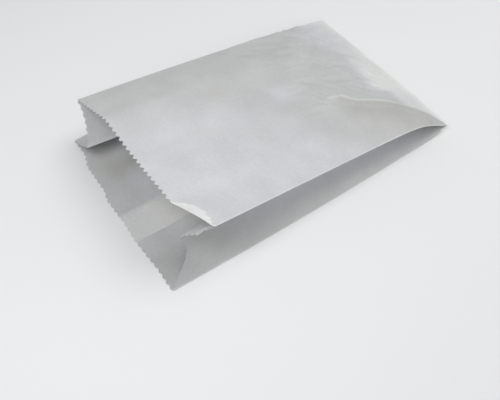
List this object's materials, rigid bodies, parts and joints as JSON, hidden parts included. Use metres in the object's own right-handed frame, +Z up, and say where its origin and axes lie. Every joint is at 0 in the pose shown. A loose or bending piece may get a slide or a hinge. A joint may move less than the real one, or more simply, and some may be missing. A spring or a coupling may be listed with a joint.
{
  "type": "side gusset paper bag",
  "caption": "Small white side gusset paper bag, empty and lying on its back panel, with a sprung open mouth, inward side pleats and a folded under end.",
  "frame": {"origin": "on the table below the middle of the bag's bounding box, midway between the mouth's lip and the folded end and midway between the two side edges", "axes": "+X along the bag's length from the open mouth to the closed end, +Y across the bag to the side whose top edge is the lower one, +Z up from the back panel to the front panel"},
  "size_m": [0.2052, 0.13, 0.0494],
  "materials": {
    "white_paper": "uncoated thin white bag paper, matte, faintly mottled, slightly see-through where it is one layer"
  },
  "bodies": {
    "root": {"bag": "white_paper"}
  },
  "joints": []
}
